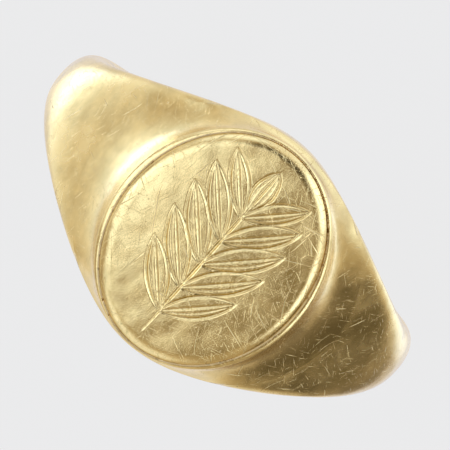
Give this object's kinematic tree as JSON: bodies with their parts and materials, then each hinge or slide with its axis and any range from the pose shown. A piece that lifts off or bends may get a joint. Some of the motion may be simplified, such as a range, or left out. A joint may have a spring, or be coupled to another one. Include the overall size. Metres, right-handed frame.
{
  "type": "signet ring",
  "caption": "Gold oval signet ring: round finger bore, forged shoulders that taper to a narrow back, and a raised oval head with an engraved table plate.",
  "frame": {"origin": "centre of the finger bore", "axes": "+Y along the finger through the bore, +Z from the bore up through the middle of the flat table, +X from shoulder to shoulder"},
  "size_m": [0.0216, 0.0122, 0.0219],
  "materials": {
    "shank_gold": "worn polish, fine scratches",
    "head_gold": "worn polish, fine scratches",
    "table_gold": "worn satin with engraved cuts",
    "solder": "dull, slightly tarnished"
  },
  "bodies": {
    "root": {"shank": "shank_gold", "head": "head_gold", "table_plate": "table_gold", "table_solder": "solder", "head_solder": "solder", "shank_joint_solder": "solder"}
  },
  "joints": []
}
